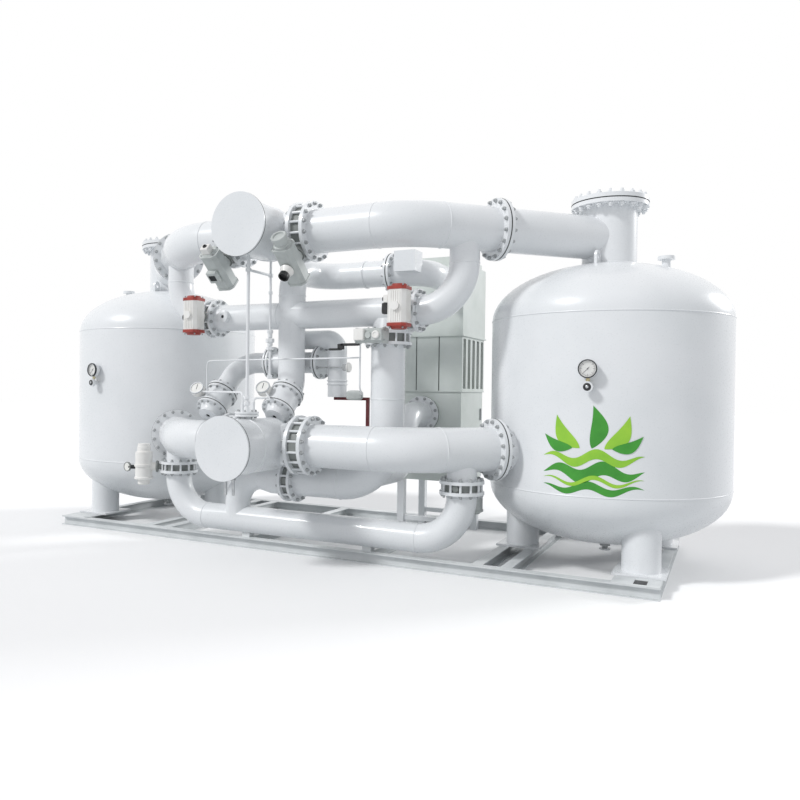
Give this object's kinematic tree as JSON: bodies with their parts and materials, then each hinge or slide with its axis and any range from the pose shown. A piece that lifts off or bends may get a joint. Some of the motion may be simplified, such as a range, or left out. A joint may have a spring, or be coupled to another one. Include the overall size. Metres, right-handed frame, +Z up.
{
  "type": "desiccant air dryer",
  "caption": "Twin-tower desiccant compressed-air dryer on a steel skid, with a butterfly-valve manifold, regeneration pipes and an air cooler.",
  "frame": {"origin": "on the floor, at the middle of the four anchor holes in the skid's rails", "axes": "+X from the left tower to the right tower, +Y to the back, +Z up"},
  "size_m": [7.64, 3.45, 3.516],
  "materials": {
    "white_paint": "semi-gloss",
    "actuator_grey": "satin",
    "actuator_white": "satin",
    "cap_red": "satin",
    "cooler_paint": "satin",
    "bracket_maroon": "satin",
    "bare_steel": "brushed",
    "desiccant": "matt beads",
    "needle_black": "matt"
  },
  "bodies": {
    "dryer": {"skid_rails": "white_paint", "skid_cross_beams": "white_paint", "left_tower_shell": "white_paint", "right_tower_shell": "white_paint", "left_tower_legs": "white_paint", "right_tower_legs": "white_paint", "left_fill_cover": "white_paint", "right_fill_cover": "white_paint", "desiccant_beds": "desiccant", "bed_grids": "bare_steel", "upper_drum": "white_paint", "lower_drum": "white_paint", "upper_drum_cover": "white_paint", "lower_drum_cover": "white_paint", "upper_left_spool": "white_paint", "upper_right_spool": "white_paint", "lower_left_spool": "white_paint", "lower_right_spool": "white_paint", "regen_header": "white_paint", "low_regen_pipe": "white_paint", "lifting_lugs": "white_paint", "transfer_riser": "white_paint", "upper_valve_bodies": "white_paint", "lower_valve_bodies": "white_paint", "header_valve_bodies": "white_paint", "low_valve_bodies": "white_paint", "riser_valve_body": "white_paint", "transfer_valve_body": "white_paint", "upper_actuators": "actuator_grey", "lower_actuators": "actuator_grey", "header_actuators": "actuator_white", "header_actuator_caps": "cap_red", "left_low_actuator": "actuator_white", "right_low_actuator": "actuator_grey", "transfer_actuators": "actuator_grey", "right_strainer": "white_paint", "left_strainer": "white_paint", "crossover_pipe": "white_paint", "leg_bracket": "bracket_maroon", "cooler_plenum": "cooler_paint", "cooler_core": "cooler_paint", "cooler_hood": "cooler_paint", "cooler_stand": "white_paint", "return_pipe": "white_paint", "rear_pipe": "white_paint", "tower_gauges": "white_paint", "pipe_posts": "white_paint"},
    "upper_left_disc_body": {"upper_left_disc": "bare_steel"},
    "upper_right_disc_body": {"upper_right_disc": "bare_steel"},
    "lower_left_disc_body": {"lower_left_disc": "bare_steel"},
    "lower_right_disc_body": {"lower_right_disc": "bare_steel"},
    "header_left_disc_body": {"header_left_disc": "bare_steel"},
    "header_right_disc_body": {"header_right_disc": "bare_steel"},
    "low_left_disc_body": {"low_left_disc": "bare_steel"},
    "low_right_disc_body": {"low_right_disc": "bare_steel"},
    "riser_disc_body": {"riser_disc": "bare_steel"},
    "transfer_disc_body": {"transfer_disc": "bare_steel"},
    "left_gauge_needle_body": {"left_gauge_needle": "needle_black"},
    "right_gauge_needle_body": {"right_gauge_needle": "needle_black"}
  },
  "joints": [
    {"name": "upper_left_valve", "type": "hinge", "parent": "dryer", "child": "upper_left_disc_body", "pos_m": [-0.595, -1.47, 3.13], "axis": [0, -0.6691, -0.7431], "range_deg": [0, 90]},
    {"name": "upper_right_valve", "type": "hinge", "parent": "dryer", "child": "upper_right_disc_body", "pos_m": [0.215, -1.47, 3.13], "axis": [0, -0.6691, -0.7431], "range_deg": [0, 90]},
    {"name": "lower_left_valve", "type": "hinge", "parent": "dryer", "child": "lower_left_disc_body", "pos_m": [-0.595, -1.47, 1.115], "axis": [0, 1, 0], "range_deg": [0, 90]},
    {"name": "lower_right_valve", "type": "hinge", "parent": "dryer", "child": "lower_right_disc_body", "pos_m": [0.215, -1.47, 1.115], "axis": [0, 1, 0], "range_deg": [0, 90]},
    {"name": "header_left_valve", "type": "hinge", "parent": "dryer", "child": "header_left_disc_body", "pos_m": [-1.15, -1.09, 2.392], "axis": [0, -1, 0], "range_deg": [0, 90]},
    {"name": "header_right_valve", "type": "hinge", "parent": "dryer", "child": "header_right_disc_body", "pos_m": [1.15, -1.09, 2.392], "axis": [0, -1, 0], "range_deg": [0, 90]},
    {"name": "low_left_valve", "type": "hinge", "parent": "dryer", "child": "low_left_disc_body", "pos_m": [-1.63, -1.09, 0.778], "axis": [-0.848, -0.5299, 0], "range_deg": [0, 90]},
    {"name": "low_right_valve", "type": "hinge", "parent": "dryer", "child": "low_right_disc_body", "pos_m": [1.63, -1.09, 0.778], "axis": [0, 1, 0], "range_deg": [0, 90]},
    {"name": "riser_valve", "type": "hinge", "parent": "dryer", "child": "riser_disc_body", "pos_m": [0.884, -1.09, 2.14], "axis": [0, -1, 0], "range_deg": [0, 90]},
    {"name": "transfer_valve", "type": "hinge", "parent": "dryer", "child": "transfer_disc_body", "pos_m": [-0.145, -1.09, 0.735], "axis": [0, 1, 0], "range_deg": [0, 90]},
    {"name": "left_gauge_needle_hinge", "type": "hinge", "parent": "dryer", "child": "left_gauge_needle_body", "pos_m": [-2.87668, -1.15886, 1.845], "axis": [0.134, 0.991, 0], "range_deg": [0, 270], "stiffness_Nm_per_rad": 0.004},
    {"name": "right_gauge_needle_hinge", "type": "hinge", "parent": "dryer", "child": "right_gauge_needle_body", "pos_m": [2.73021, -1.16935, 1.845], "axis": [-0.0087, 1, 0], "range_deg": [0, 270], "stiffness_Nm_per_rad": 0.004}
  ]
}
